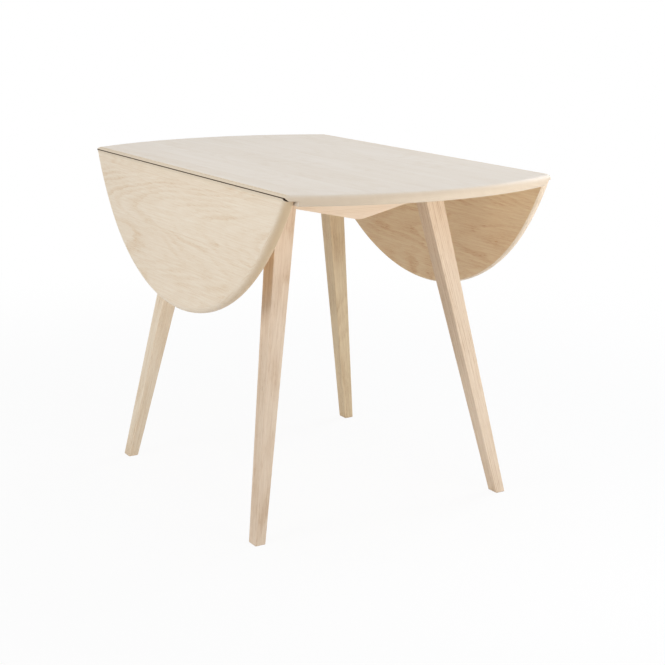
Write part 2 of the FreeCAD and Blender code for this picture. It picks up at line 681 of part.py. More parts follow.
def screw_passage(name, x, y):
    """The plain hole and the wide counterbore that one frame screw goes up through."""
    fit = "Sizes.drill_fit"
    return [
        cylinder(f"{name}_passage", f"Sizes.frame_screw_diameter / 2 + {fit}",
                 "2 * Sizes.frame_screw_length", (x, y, FRAME_SCREW_LOW), Z_AXIS),
        cylinder(f"{name}_counterbore", f"Sizes.frame_screw_head / 2 + {fit}",
                 "Sizes.rail_depth_middle", (x, y, f"{FRAME_SCREW_LOW} + {SCREW_HEAD_DEPTH}"),
                 -Z_AXIS),
    ]


SCREW_HEAD_DEPTH = "((Sizes.frame_screw_head - Sizes.frame_screw_diameter) / 2)"


def make_legs_and_rails():
    """Four legs and two rails, cut to meet each other and drilled together."""
    made = []
    for end_name, end in ENDS:
        drillings = []
        legs = []
        for side_name, side in SIDES:
            name = f"{side_name}_{end_name}"
            blank = make_leg_blank(name, side, end)
            joint = joint_drillings(f"joint_{name}", side, end)
            leg = cut_from(f"leg_{name}", blank, joint)
            legs.append(blank)
            drillings += joint
            drillings.append(cylinder(
                f"nut_hole_{name}", "Sizes.barrel_nut_diameter / 2 + Sizes.drill_fit",
                "Sizes.rail_thickness / 2 + Sizes.barrel_nut_length / 2",
                (f"{side} * {BARREL_NUT_PLACE}",
                 f"{end} * ({RAIL_PLACE} - Sizes.rail_thickness / 2)", BOLT_HEIGHT), Y_AXIS * end))
            drillings += screw_passage(f"rail_screw_{name}", f"{side} * Sizes.rail_screw_offset",
                                       f"{end} * {RAIL_PLACE}")
            made.append(leg)
        rail = make_rail_blank(end_name, end)
        made.append(cut_from(f"end_rail_{end_name}", rail, legs + drillings))
    return made


def make_spine():
    """The bearer down the middle, stub-tenoned into both rails."""
    body = new_body("spine_board")
    low = f"{UNDERSIDE} - Sizes.spine_depth"
    box_feature(body, "Additive", "spine_bar", "-Sizes.spine_thickness / 2", "0", low,
                "Sizes.spine_thickness", f"2 * {SPINE_HALF}", "Sizes.spine_depth")
    tenon_low = f"{low} + (Sizes.spine_depth - Sizes.tenon_depth) / 2"
    box_feature(body, "Additive", "spine_tenons", "-Sizes.tenon_thickness / 2", "0", tenon_low,
                "Sizes.tenon_thickness", f"2 * ({SPINE_HALF} + Sizes.tenon_length)",
                "Sizes.tenon_depth")
    drillings = []
    for name, end in ENDS:
        drillings += screw_passage(f"spine_screw_{name}", "0", f"{end} * Sizes.spine_screw_offset")
    return cut_from("spine", body, drillings)


# ---------------------------------------------------------------- wings

def make_wing():
    """A wing drawn about its pivot, stowed along +Y: round heel, slim taper, round tip."""
    body = new_body("wing_pattern")
    heel, tip, reach = "Sizes.wing_heel_radius", "Sizes.wing_tip_radius", "Sizes.wing_reach"
    sketch = new_sketch(body, "wing_outline", "XY_Plane")
    draw_outline(sketch, [
        (f"-{heel}", "0", heel, "0", "0"),
        ("0", f"-{heel}", heel, "0", "0"),
        (heel, "0"),
        (tip, reach, tip, "0", reach),
        ("0", f"{reach} + {tip}", tip, "0", reach),
        (f"-{tip}", reach)])
    board = extrude(body, "Pad", "wing_board", sketch, "Sizes.wing_thickness")
    round_edges(body, "wing_edge", "Fillet", board, lies_at_height(0.0), "Sizes.wing_edge_round")
    bore = body.newObject("PartDesign::SubtractiveCylinder", "wing_bore")
    bind(bore, Radius="Sizes.pivot_diameter / 2 + Sizes.pivot_play",
         Height="2 * Sizes.wing_thickness")
    place(bore, "0", "0", "-Sizes.wing_thickness / 2")
    doc.recompute()
    return body


def make_pivot_bolt():
    """Hexagon-headed pivot bolt: head below the wing, plain shank, end in the panel."""
    shank = cylinder("pivot_shank", "Sizes.pivot_diameter / 2",
                     "Sizes.washer_thickness + Sizes.wing_thickness + 2 * Sizes.wing_top_gap"
                     " + Sizes.pivot_grip", ("0", "0", "0"), Z_AXIS)
    head = doc.addObject("Part::Prism", "pivot_head")
    head.Polygon = 6
    bind(head, Circumradius="Sizes.pivot_head_width / sqrt(3)", Height="Sizes.pivot_head_height")
    place(head, "0", "0", "-Sizes.pivot_head_height")
    bolt = doc.addObject("Part::Fuse", "pivot_bolt_pattern")
    bolt.Base = shank
    bolt.Tool = head
    doc.recompute()
    return bolt


def make_washer():
    disc = cylinder("washer_disc", "Sizes.washer_diameter / 2", "Sizes.washer_thickness",
                    ("0", "0", "0"), Z_AXIS)
    hole = cylinder("washer_hole", "Sizes.pivot_diameter / 2 + Sizes.pivot_play",
                    "Sizes.washer_thickness", ("0", "0", "0"), Z_AXIS)
    return cut_from("washer_pattern", disc, [hole])


def make_wings():
    """A wing beside each face of the spine, turned end for end, with its bolt and washer."""
    wing, bolt, washer = make_wing(), make_pivot_bolt(), make_washer()
    seat = f"({WING_BOTTOM} - Sizes.wing_top_gap - Sizes.washer_thickness)"
    made = []
    for name, side in SIDES:
        x = f"{side} * {WING_PIVOT_X}"
        y = f"{-side} * Sizes.wing_pivot_offset"
        turn = side_rotation(side)
        made.append(stand_in_place(f"wing_{name}", wing, x, y, WING_BOTTOM, turn))
        made.append(stand_in_place(f"wing_pivot_bolt_{name}", bolt, x, y, seat, turn))
        made.append(stand_in_place(f"wing_washer_{name}", washer, x, y, seat, turn))
    return made


# ---------------------------------------------------------------- fasteners

def make_screw(name, diameter, head, length):
    """A countersunk wood screw, head down, from the origin up, with a cross recess."""
    depth = (number(head) - number(diameter)) / 2
    radius = number(diameter) / 2
    total = number(length)
    profile = [Vector(0, 0, 0), Vector(number(head) / 2, 0, 0), Vector(radius, 0, depth),
               Vector(radius, 0, total - 2 * radius), Vector(0, 0, total)]
    edges = [Part.LineSegment(a, b).toShape() for a, b in zip(profile, profile[1:] + profile[:1])]
    body = Part.Face(Part.Wire(edges)).revolve(Vector(0, 0, 0), Z_AXIS, 360)
    arm, slot = 1.3 * radius, 0.35 * radius
    for turned in (False, True):
        size = (2 * slot, 2 * arm) if turned else (2 * arm, 2 * slot)
        recess = Part.makeBox(*size, depth, Vector(-size[0] / 2, -size[1] / 2, 0))
        body = body.cut(recess)
    screw = doc.addObject("Part::Feature", name)
    screw.Shape = Part.Solid(body) if body.ShapeType != "Solid" else body
    return screw


def make_hinge_screws():
    """The hinge screws, grouped by the piece that they hold: panel, left leaf, right leaf."""
    screw = make_screw("hinge_screw_pattern", "Sizes.hinge_screw_diameter",
                       "Sizes.hinge_screw_head", "Sizes.hinge_screw_length")
    in_panel, made = [], []
    for name, side in SIDES:
        pin_point_on_side = Vector(side * number(JOINT_LINE), 0, number(PIN_HEIGHT))
        still = Placement(pin_point_on_side, side_rotation(side))
        hung = Placement(pin_point_on_side, side_rotation(side, f"Sizes.leaf_{name}_hang"))
        in_leaf = []
        for row in HINGE_ROWS:
            for along, across in FLAP_SCREWS:
                reach = along * number("Sizes.flap_reach")
                y = row * number("Sizes.hinge_spacing") + across * number("Sizes.hinge_width")
                under_panel = Vector(-reach, y, -number("Sizes.nose_radius"))
                under_leaf = Vector(reach, y, -number(PIN_TO_BACK))
                in_panel.append(still.multiply(Placement(under_panel, Rotation())))
                in_leaf.append(hung.multiply(Placement(under_leaf, Rotation())))
        made.append(group(f"hinge_screws_leaf_{name}", screw, in_leaf))
    made.append(group("hinge_screws_panel", screw, in_panel))
    return made


def make_frame_screws():
    screw = make_screw("frame_screw_pattern", "Sizes.frame_screw_diameter",
                       "Sizes.frame_screw_head", "Sizes.frame_screw_length")
    low = number(FRAME_SCREW_LOW)
    spots = [Placement(Vector(number(x), number(y), low), Rotation())
             for x, y in frame_screw_places()]
    return group("frame_screws", screw, spots)


def make_leg_fasteners():
    """Socket-head bolts, barrel nuts and dowels of the four joints between legs and rails."""
    shank = number("Sizes.leg_bolt_diameter") / 2
    head = number("Sizes.leg_bolt_head") / 2
    head_height = number("Sizes.leg_bolt_head_height")
    length = number(f"{BOLT_HEAD_SEAT} - {BOLT_END}")
    socket = Part.makeCylinder(0.5 * head, 0.6 * head_height, Vector(0, 0, -head_height))
    bolt_shape = Part.makeCylinder(shank, length).fuse(
        Part.makeCylinder(head, head_height, Vector(0, 0, -head_height))).cut(socket)
    bolt = doc.addObject("Part::Feature", "leg_bolt_pattern")
    bolt.Shape = bolt_shape.removeSplitter()
    nut = doc.addObject("Part::Feature", "barrel_nut_pattern")
    nut_length = number("Sizes.barrel_nut_length")
    nut_shape = Part.makeCylinder(number("Sizes.barrel_nut_diameter") / 2, nut_length,
                                  Vector(0, -nut_length / 2, 0), Y_AXIS)
    thread = Part.makeCylinder(shank + number("Sizes.drill_fit"), 2 * nut_length,
                               Vector(-nut_length, 0, 0), X_AXIS)
    nut.Shape = nut_shape.cut(thread)
    dowel = doc.addObject("Part::Feature", "dowel_pattern")
    dowel.Shape = Part.makeCylinder(number("Sizes.dowel_diameter") / 2,
                                    number("Sizes.dowel_length"),
                                    Vector(-number("Sizes.dowel_length") / 2, 0, 0), X_AXIS)
    bolts, nuts, dowels = [], [], []
    for _, end in ENDS:
        y = end * number(RAIL_PLACE)
        for _, side in SIDES:
            inward = Rotation(Z_AXIS, X_AXIS * -side)
            height = number(BOLT_HEIGHT)
            bolts.append(Placement(Vector(side * number(BOLT_HEAD_SEAT), y, height), inward))
            nuts.append(Placement(Vector(side * number(BARREL_NUT_PLACE), y, height), Rotation()))
            for level in DOWEL_HEIGHTS:
                x = side * number(leg_inner_face(level))
                dowels.append(Placement(Vector(x, y, number(level)), Rotation()))
    return [group("leg_bolts", bolt, bolts), group("barrel_nuts", nut, nuts),
            group("leg_dowels", dowel, dowels)]


# ---------------------------------------------------------------- the whole table

def check_document():
    """Stop if any feature failed."""
    for item in doc.Objects:
        if "Invalid" in item.State or "Error" in item.State:
            raise RuntimeError(f"{item.Name} failed: {item.State}")


def write_steps(pieces):
    """Check each piece's solids and write them to the parts folder."""
    os.makedirs("parts", exist_ok=True)
    for piece in pieces:
        shape = piece.Shape
        if shape.isNull() or not shape.isValid() or not shape.Solids:
            raise RuntimeError(f"{piece.Label} has no valid solid")
        shape.exportStep(f"parts/{piece.Label}.step")
        print(f"{piece.Label}: {len(shape.Solids)} solids, {shape.Volume / 1000:.2f} cm3")


pieces = [make_centre_panel()]
pieces += [make_leaf(name, side) for name, side in SIDES]
pieces += make_hinges()
pieces += make_legs_and_rails()
pieces.append(make_spine())
pieces += make_wings()
pieces += make_hinge_screws()
pieces.append(make_frame_screws())
pieces += make_leg_fasteners()
doc.recompute()
check_document()
write_steps(pieces)
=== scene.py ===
"""Looks of the drop-leaf table: whitewashed ash on rule joints and splayed legs. Metres, +Z up."""
import math

import bpy
import numpy as np
from mathutils import Matrix, Vector

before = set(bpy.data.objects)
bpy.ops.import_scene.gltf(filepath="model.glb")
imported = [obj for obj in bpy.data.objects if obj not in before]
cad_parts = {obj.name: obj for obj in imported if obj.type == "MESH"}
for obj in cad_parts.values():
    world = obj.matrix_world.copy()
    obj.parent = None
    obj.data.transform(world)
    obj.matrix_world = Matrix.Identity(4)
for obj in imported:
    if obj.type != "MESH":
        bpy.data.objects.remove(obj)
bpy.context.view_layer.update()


# ---------------------------------------------------------------- centre panel
# Boards of plain-sawn ash glued edge to edge, the grain along the hinge lines, whitewashed and
# lacquered. Both long edges are moulded to the nose of a rule joint; front and back are end grain.

def paint(red, green, blue):
    """A colour as mixed on a 0 to 255 chart, as the linear values that a shader takes."""
    chart = np.array((red, green, blue)) / 255
    linear = np.where(chart <= 0.04045, chart / 12.92, ((chart + 0.055) / 1.055) ** 2.4)
    return (*linear.tolist(), 1.0)


def add_node(tree, kind, inputs=None, **settings):
    """One shader node with its settings. An input is filled with a value or linked to a socket."""
    node = tree.nodes.new(kind)
    for setting, value in settings.items():
        setattr(node, setting, value)
    for socket, value in (inputs or {}).items():
        if isinstance(value, bpy.types.NodeSocket):
            tree.links.new(value, node.inputs[socket])
        else:
            node.inputs[socket].default_value = value
    return node


def calc(tree, operation, *terms, clamp=False):
    """One Math node on numbers or sockets."""
    node = add_node(tree, "ShaderNodeMath", dict(enumerate(terms)), operation=operation,
                    use_clamp=clamp)
    return node.outputs[0]


def ramp(tree, value, low, high, to_low=0.0, to_high=1.0):
    """A smooth step of a value from to_low at low up to to_high at high."""
    return add_node(tree, "ShaderNodeMapRange", {
        "Value": value, "From Min": low, "From Max": high, "To Min": to_low, "To Max": to_high,
    }, interpolation_type="SMOOTHSTEP").outputs[0]


def blend_colours(tree, share, first, second):
    return add_node(tree, "ShaderNodeMix", {0: share, 6: first, 7: second},
                    data_type="RGBA").outputs[2]


def new_group(name, inputs, outputs):
    """An empty shader group with named sockets, its inputs and its output node."""
    tree = bpy.data.node_groups.new(name, "ShaderNodeTree")
    for label, kind, value in inputs:
        socket = tree.interface.new_socket(label, in_out="INPUT", socket_type=kind)
        socket.default_value = value
    for label, kind in outputs:
        tree.interface.new_socket(label, in_out="OUTPUT", socket_type=kind)
    return tree, tree.nodes.new("NodeGroupInput").outputs, tree.nodes.new("NodeGroupOutput").inputs


def make_ash_grain():
    """Ash boards with the grain along Y and their faces turned to Z. Each board has its own pith,
    a line under the face that dips along the board and wanders a little. A point's ring number is
    its distance from that line over the ring spacing, plus a small ripple. Each ring starts with
    a porous band that fades to smooth late wood. Long thin noise gives fibres and pores, broad
    noise gives clouds, and glue lines part the boards. Bare Back is how bare of whitewash the
    faces turned to -Z are."""
    # Each noise is waves per metre along the grain and across it, and levels of detail.
    wander_noise, ripple_noise, figure_noise = (2.5, 9.0, 1.0), (12.0, 110.0, 2.0), (5.0, 16.0, 1.0)
    fibre_noise, pore_noise, cloud_noise = (9.0, 300.0, 3.0), (45.0, 1500.0, 1.0), (3.0, 40.0, 3.0)
    # A year's growth: shares of it where the porous band is full, starts to fade and is gone.
    band_full, band_fades, band_gone, weakest_band = 0.25, 0.3, 0.95, 0.3
    glue_line, glue_edge, glue_shade = 0.0002, 0.0009, 0.15
    plain_shade, satin = 0.3, 0.46
    number, vector, colour = "NodeSocketFloat", "NodeSocketVector", "NodeSocketColor"
    tree, given, out = new_group("Ash grain", [
        ("Position", vector, (0, 0, 0)), ("Normal", vector, (0, 0, 1)),
        ("Board Width", number, 0.11), ("Board Shift", number, 0.0), ("Board Variety", number, 0.2),
        ("Pith Depth", number, 0.12), ("Dip", number, 0.03), ("Wander", number, 0.02),
        ("Ring Spacing", number, 0.0026), ("Ripple", number, 0.003), ("Rings", number, 0.3),
        ("Clouds", number, 0.3), ("Fibres", number, 0.3), ("Seed", number, 0.0),
        ("Bare Back", number, 0.0), ("Late Wood", colour, (1, 1, 1, 1)),
        ("Early Wood", colour, (0.5, 0.4, 0.3, 1)), ("End Grain", colour, (0.5, 0.4, 0.3, 1)),
        ("Bare Late Wood", colour, (0.7, 0.5, 0.3, 1)),
        ("Bare Early Wood", colour, (0.5, 0.3, 0.2, 1)),
    ], [("Color", colour), ("Roughness", number), ("Height", number)])
    place = add_node(tree, "ShaderNodeSeparateXYZ", {0: given["Position"]}).outputs
    facing = add_node(tree, "ShaderNodeSeparateXYZ", {0: given["Normal"]}).outputs

    board_place = calc(tree, "ADD", calc(tree, "DIVIDE", place["X"], given["Board Width"]),
                       given["Board Shift"])
    board = calc(tree, "FLOOR", board_place)
    lot = add_node(tree, "ShaderNodeTexWhiteNoise",
                   {"W": calc(tree, "ADD", board, given["Seed"])}, noise_dimensions="1D")
    draws = add_node(tree, "ShaderNodeSeparateColor", {0: lot.outputs["Color"]}).outputs
    lot_shift = calc(tree, "MULTIPLY", draws[0], 37.0)

    def stretched_noise(along_scale, side_scale, detail):
        """Noise between 0 and 1, longer along the grain than across it."""
        stretched = add_node(tree, "ShaderNodeCombineXYZ", {
            0: calc(tree, "MULTIPLY_ADD", place["Y"], along_scale, lot_shift),
            1: calc(tree, "MULTIPLY", place["X"], side_scale),
            2: calc(tree, "MULTIPLY", place["Z"], side_scale)})
        return add_node(tree, "ShaderNodeTexNoise", {
            "Vector": stretched.outputs[0], "Scale": 1.0, "Detail": detail, "Roughness": 0.55,
        }).outputs[0]

    def around_zero(value, size):
        return calc(tree, "MULTIPLY", calc(tree, "SUBTRACT", value, 0.5), size)

    pith_in_board = calc(tree, "MULTIPLY_ADD", draws[1], 0.7, 0.15)
    in_board = calc(tree, "SUBTRACT", calc(tree, "FRACT", board_place), pith_in_board)
    sideways = calc(tree, "MULTIPLY", in_board, given["Board Width"])
    dip = calc(tree, "MULTIPLY", calc(tree, "MULTIPLY", place["Y"], given["Dip"]),
               calc(tree, "SIGN", calc(tree, "SUBTRACT", draws[2], 0.5)))
    down = calc(tree, "ADD", calc(tree, "ADD", place["Z"], given["Pith Depth"]),
                calc(tree, "ADD", dip, around_zero(stretched_noise(*wander_noise),
                                                   given["Wander"])))
    radius = calc(tree, "SQRT", calc(tree, "ADD", calc(tree, "MULTIPLY", sideways, sideways),
                                     calc(tree, "MULTIPLY", down, down)))
    rippled = calc(tree, "ADD", radius, around_zero(stretched_noise(*ripple_noise),
                                                    given["Ripple"]))
    ring = calc(tree, "DIVIDE", rippled, given["Ring Spacing"])
    year = calc(tree, "FRACT", ring)
    band = calc(tree, "MULTIPLY", ramp(tree, year, 0.0, band_full),
                ramp(tree, year, band_fades, band_gone, 1.0, 0.0))
    weather = add_node(tree, "ShaderNodeTexWhiteNoise", {"W": calc(tree, "FLOOR", ring)},
                       noise_dimensions="1D").outputs["Value"]
    strength = calc(tree, "MULTIPLY_ADD", weather, 1.0 - weakest_band, weakest_band)
    band = calc(tree, "MULTIPLY", band, strength)
    figure = ramp(tree, stretched_noise(*figure_noise), 0.38, 0.62, 0.25, 1.0)
    band = calc(tree, "MULTIPLY", band, figure)

    fibre = stretched_noise(*fibre_noise)
    pores = calc(tree, "MULTIPLY", ramp(tree, stretched_noise(*pore_noise), 0.56, 0.66),
                 calc(tree, "MULTIPLY_ADD", band, 0.75, 0.25))
    cloud = stretched_noise(*cloud_noise)
    from_glue = calc(tree, "MULTIPLY", calc(tree, "PINGPONG", board_place, 0.5),
                     given["Board Width"])
    glue = ramp(tree, from_glue, glue_line, glue_edge, 1.0, 0.0)

    shade = around_zero(draws[2], given["Board Variety"])
    for mark, share, middle in ((cloud, given["Clouds"], 0.5), (band, given["Rings"], 0.2),
                                (fibre, given["Fibres"], 0.5), (pores, given["Fibres"], 0.0),
                                (glue, glue_shade, 0.0)):
        shade = calc(tree, "MULTIPLY_ADD", calc(tree, "SUBTRACT", mark, middle), share, shade)
    shade = calc(tree, "ADD", shade, plain_shade, clamp=True)
    washed = blend_colours(tree, shade, given["Late Wood"], given["Early Wood"])
    bare = blend_colours(tree, shade, given["Bare Late Wood"], given["Bare Early Wood"])
    backwards = ramp(tree, facing["Z"], -0.95, -0.80, given["Bare Back"], 0.0)
    face = blend_colours(tree, backwards, washed, bare)
    endwise = ramp(tree, calc(tree, "ABSOLUTE", facing["Y"]), 0.1, 0.85, 0.0, 0.9)
    end_shade = calc(tree, "MULTIPLY_ADD", band, 0.3, calc(tree, "MULTIPLY", cloud, 0.7),
                     clamp=True)
    end_face = blend_colours(tree, end_shade, given["End Grain"], given["Early Wood"])
    tree.links.new(blend_colours(tree, endwise, face, end_face), out["Color"])
    open_grain = calc(tree, "MULTIPLY_ADD", fibre, 0.10, calc(tree, "MULTIPLY", pores, 0.22))
    tree.links.new(calc(tree, "ADD", satin, open_grain), out["Roughness"])
    hollows = calc(tree, "MULTIPLY", glue, 0.5)
    for mark, depth in ((band, 0.2), (pores, 0.8)):
        hollows = calc(tree, "MULTIPLY_ADD", mark, depth, hollows)
    tree.links.new(calc(tree, "SUBTRACT", calc(tree, "MULTIPLY", fibre, 0.25), hollows),
                   out["Height"])
    return tree


def make_joint_crease_shade():
    """Painted shade round the hinge pin's line of a rule joint, on either side of the table. Dark
    is 1
    within Radius of that line and below Top: a painted shadow in the crease between the two pieces.
    Edge is 1 up to 3.5 mm further out: a band painted darker and yellower, partly the cream of the
    wood there, partly painted shade on the rounded nose. Neither reaches end grain."""
    edge_fades, edge_gone, soft = 0.0015, 0.0035, 0.0003
    number, vector = "NodeSocketFloat", "NodeSocketVector"
    tree, given, out = new_group("Joint crease shade", [
        ("Position", vector, (0, 0, 0)), ("Normal", vector, (0, 0, 1)), ("Pin X", number, 0.312),
        ("Pin Z", number, 0.7338), ("Radius", number, 0.005), ("Top", number, 0.735),
    ], [("Dark", number), ("Edge", number)])
    place = add_node(tree, "ShaderNodeSeparateXYZ", {0: given["Position"]}).outputs
    facing = add_node(tree, "ShaderNodeSeparateXYZ", {0: given["Normal"]}).outputs
    sideways = calc(tree, "SUBTRACT", calc(tree, "ABSOLUTE", place["X"]), given["Pin X"])
    upwards = calc(tree, "SUBTRACT", place["Z"], given["Pin Z"])
    distance = calc(tree, "SQRT", calc(tree, "ADD", calc(tree, "MULTIPLY", sideways, sideways),
                                       calc(tree, "MULTIPLY", upwards, upwards)))
    beyond = calc(tree, "SUBTRACT", distance, given["Radius"])
    low = ramp(tree, calc(tree, "SUBTRACT", place["Z"], given["Top"]), -soft, soft, 1.0, 0.0)
    lengthwise = ramp(tree, calc(tree, "ABSOLUTE", facing["Y"]), 0.3, 0.7, 1.0, 0.0)
    crease_shadow = calc(tree, "MULTIPLY", ramp(tree, beyond, 0.0, soft, 1.0, 0.0), low)
    near_edge = ramp(tree, beyond, edge_fades, edge_gone, 1.0, 0.0)
    tree.links.new(calc(tree, "MULTIPLY", crease_shadow, lengthwise), out["Dark"])
    tree.links.new(calc(tree, "MULTIPLY", near_edge, lengthwise), out["Edge"])
    return tree


ash_grain = make_ash_grain()
joint_crease_shade = make_joint_crease_shade()
# Colours painted at the rule joints: a brown painted shadow in the crease, and a darker cream band
# on the nose, partly painted shade.
JOINT_BAND_CREAM_AND_SHADE, CREASE_SHADOW_BROWN = paint(228, 212, 188), paint(70, 48, 30)
NOSE_SHADOW_RADIUS, HOLLOW_SHADOW_RADIUS = 0.0051, 0.0059  # radii of the painted crease shadow, just outside the round faces of panel and leaf
BARE_ASH = {"Bare Late Wood": paint(255, 237, 203), "Bare Early Wood": paint(214, 166, 116),
            "Bare Back": 1.0}


def lacquered_ash(name, across, along, outward, joint_radius=None, **grain):
    """Ash under a thin satin lacquer. The three directions are the width, the grain and the face
    of the board; a Mapping node turns them to the group's X, Y and Z."""
    material = bpy.data.materials.new(name)
    material.use_nodes = True
    tree = material.node_tree
    surface = tree.nodes["Principled BSDF"]
    coordinates = add_node(tree, "ShaderNodeTexCoord").outputs
    turn = Matrix((across, along, outward)).to_euler()
    timber = add_node(tree, "ShaderNodeGroup", node_tree=ash_grain)
    for given, kind, socket in (("Object", "POINT", "Position"), ("Normal", "VECTOR", "Normal")):
        turned = add_node(tree, "ShaderNodeMapping", {"Vector": coordinates[given],
                                                      "Rotation": turn}, vector_type=kind)
        tree.links.new(turned.outputs[0], timber.inputs[socket])
    for socket, value in grain.items():
        timber.inputs[socket].default_value = value
    colour, roughness = timber.outputs["Color"], timber.outputs["Roughness"]
    if joint_radius:
        joint = add_node(tree, "ShaderNodeGroup", {
            "Position": coordinates["Object"], "Normal": coordinates["Normal"],
        }, node_tree=joint_crease_shade)
        joint.inputs["Radius"].default_value = joint_radius
        # A band round the joint painted darker and yellower than the wood: partly its cream, partly
        # painted shade on the rounded nose.
        colour = blend_colours(tree, joint.outputs["Edge"], colour, JOINT_BAND_CREAM_AND_SHADE)
        # A brown painted shadow in the crease of the rule joint.
        colour = blend_colours(tree, joint.outputs["Dark"], colour, CREASE_SHADOW_BROWN)
        roughness = calc(tree, "MULTIPLY_ADD", joint.outputs["Dark"], 0.4, roughness)
    bump = add_node(tree, "ShaderNodeBump", {"Height": timber.outputs["Height"],
                                             "Strength": 0.35, "Distance": 0.0003})
    tree.links.new(colour, surface.inputs["Base Color"])
    tree.links.new(roughness, surface.inputs["Roughness"])
    tree.links.new(bump.outputs[0], surface.inputs["Normal"])
    surface.inputs["Specular IOR Level"].default_value = 0.4
    return material


def dress(node, material):
    """Gives one piece of the frame its finish."""
    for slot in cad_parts[node].material_slots:
        slot.material = material


dress("centre_panel", lacquered_ash(
    "Whitewashed panel", (1, 0, 0), (0, 1, 0), (0, 0, 1), joint_radius=NOSE_SHADOW_RADIUS, **BARE_ASH,
    **{"Late Wood": paint(240, 231, 219), "Early Wood": paint(216, 197, 171),
       "End Grain": paint(229, 209, 184), "Board Width": 0.104, "Board Shift": 0.5,
       "Rings": 0.12, "Clouds": 0.5, "Fibres": 0.1, "Board Variety": 0.08, "Seed": 11.0}))


# ---------------------------------------------------------------- leaves
# The two half-round leaves are glued up from the same ash, the grain along the hinge line. They
# hang from their hinges a few degrees off plumb, the hollow of the rule joint along the top.

# The left leaf's end grain is darker and browner than the right's: partly the colour of the end
# grain, partly painted shade on its rounded near edge.
for leaf, side, hang_degrees, end_grain_and_shade in (("leaf_left", -1, 87, paint(218, 192, 154)),
                                            ("leaf_right", 1, 84.5, paint(242, 226, 206))):
    hang = math.radians(hang_degrees)
    down_the_leaf = Vector((side * math.cos(hang), 0, -math.sin(hang)))
    out_of_the_leaf = Vector((side * math.sin(hang), 0, math.cos(hang)))
    dress(leaf, lacquered_ash(
        f"Cream {leaf.replace('_', ' ')}", down_the_leaf, out_of_the_leaf.cross(down_the_leaf),
        out_of_the_leaf, joint_radius=HOLLOW_SHADOW_RADIUS, **BARE_ASH,
        **{"Late Wood": paint(251, 239, 220), "Early Wood": paint(224, 195, 158),
           "End Grain": end_grain_and_shade, "Board Width": 0.112, "Board Shift": 0.2, "Dip": 0.02,
           "Wander": 0.009, "Ring Spacing": 0.0017, "Ripple": 0.0016, "Rings": 0.27,
           "Clouds": 0.22, "Fibres": 0.6, "Board Variety": 0.1, "Seed": 23.0 + side}))


# ---------------------------------------------------------------- legs
# Four legs, each from one piece of ash, tapered on all four faces to the foot, splayed both ways,
# arrises eased. Three are quarter-sawn, with fine straight lines; the back right one is plain-sawn.

FOOT = Vector((0.310, 0.328, 0.0))
HEAD = Vector((0.176, 0.203, 0.719))
CUT_END = paint(205, 176, 142)
LEG_GRAIN = {"End Grain": CUT_END, "Board Width": 1.0, "Board Shift": 0.5, "Pith Depth": 0.3,
             "Dip": 0.0, "Ring Spacing": 0.003, "Ripple": 0.002, "Rings": 0.6, "Clouds": 0.15,
             "Fibres": 0.95}
LEGS = {
    ("left", "front"): {"Late Wood": paint(238, 218, 195), "Early Wood": paint(202, 170, 136),
                        "Seed": 43.0},
    ("left", "back"): {"Late Wood": paint(252, 238, 216), "Early Wood": paint(224, 198, 164),
                       "Seed": 46.0},
    ("right", "front"): {"Late Wood": paint(241, 221, 197), "Early Wood": paint(204, 172, 138),
                         "Seed": 49.0},
    ("right", "back"): {"Late Wood": paint(243, 222, 186), "Early Wood": paint(200, 166, 124),
                        "Seed": 52.0, "Board Width": 0.14, "Pith Depth": 0.05, "Dip": 0.03,
                        "Wander": 0.03}}
for (side_name, end_name), leg_looks in LEGS.items():
    mirrored = Vector((-1 if side_name == "left" else 1, -1 if end_name == "front" else 1, 1))
    up_the_leg = ((HEAD - FOOT) * mirrored).normalized()
    across_the_leg = Vector((0, 1, 0)).cross(up_the_leg).normalized()
    dress(f"leg_{side_name}_{end_name}", lacquered_ash(
        f"Leg {side_name} {end_name}", across_the_leg, up_the_leg,
        across_the_leg.cross(up_the_leg), **{**LEG_GRAIN, **leg_looks}))


# ---------------------------------------------------------------- end rails and spine
# A shallow V board joins the two legs of each end, flush with their faces, its grain running
# across. The spine between the rails and the two rails are screwed up into the panel.

for end_name, rail_seed in (("front", 61.0), ("back", 67.0)):
    dress(f"end_rail_{end_name}", lacquered_ash(
        f"End rail {end_name}", (0, 0, 1), (1, 0, 0), (0, 1, 0),
        **{"Late Wood": paint(246, 229, 209), "Early Wood": paint(216, 189, 157),
           "End Grain": CUT_END, "Board Width": 1.6, "Board Shift": 0.5, "Pith Depth": 0.5,
           "Dip": 0.0, "Ring Spacing": 0.0032, "Rings": 0.4, "Seed": rail_seed}))
UNDERFRAME_WASH = {"Late Wood": paint(238, 220, 198), "Early Wood": paint(204, 174, 140),
                   "End Grain": CUT_END}
dress("spine", lacquered_ash(
    "Spine", (0, 0, 1), (0, 1, 0), (-1, 0, 0), **UNDERFRAME_WASH,
    **{"Board Width": 1.6, "Board Shift": 0.5, "Rings": 0.5, "Seed": 71.0}))


# ---------------------------------------------------------------- wings
# Two slim boards of ash lie along the spine and turn on a bolt to carry the opened leaves. They
# are planed and lacquered like the frame, with rounded heels and tips.

for wing, wing_seed in (("wing_left", 75.0), ("wing_right", 79.0)):
    dress(wing, lacquered_ash(
        f"Bearer {wing.replace('_', ' ')}", (1, 0, 0), (0, 1, 0), (0, 0, 1), **UNDERFRAME_WASH,
        **{"Board Width": 1.0, "Board Shift": 0.3, "Pith Depth": -0.6, "Rings": 0.5,
           "Seed": wing_seed}))


# ---------------------------------------------------------------- hinges
# Rule-joint hinges of satin brass, three to a leaf, let in flush. Each has a flap in the panel, a
# cranked flap in the leaf and a drawn brass pin through the barrels. Their screws are brass too.

